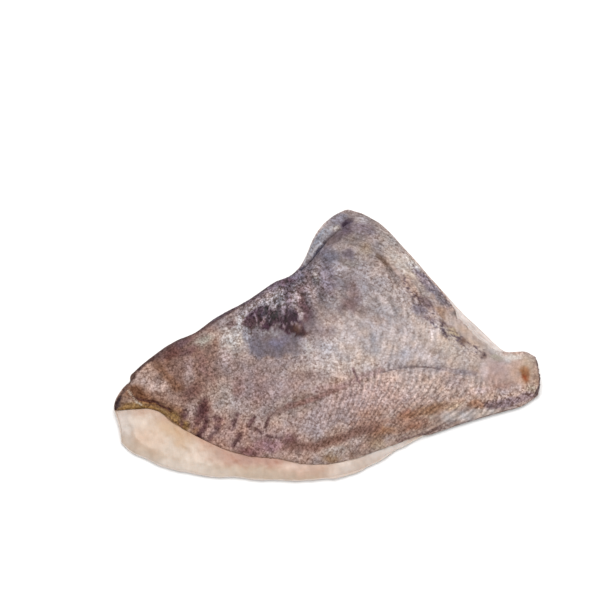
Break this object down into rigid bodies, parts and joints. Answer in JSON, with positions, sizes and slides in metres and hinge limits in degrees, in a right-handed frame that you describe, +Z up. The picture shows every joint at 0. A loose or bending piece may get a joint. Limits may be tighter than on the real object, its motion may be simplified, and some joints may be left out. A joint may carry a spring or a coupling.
{
  "type": "john dory fillet",
  "caption": "Raw fish fillet lying skin side up: a thin slab of pale flesh under mottled grey-brown skin, wedge shaped, from a pointed head end over a high back to a narrow tail stub.",
  "frame": {"origin": "under the middle of the fillet's box, on the surface it lies on", "axes": "+X along the fillet from the head end to the tail stub, +Y towards the back of the fish, +Z up through the fillet from its flesh side to its skin side"},
  "size_m": [0.2254, 0.1498, 0.0169],
  "materials": {
    "fish_flesh": "moist, slightly translucent raw flesh, satin gloss",
    "fish_skin": "moist, finely speckled grey-brown skin, satin"
  },
  "bodies": {
    "root": {"flesh": "fish_flesh", "skin": "fish_skin"}
  },
  "joints": []
}
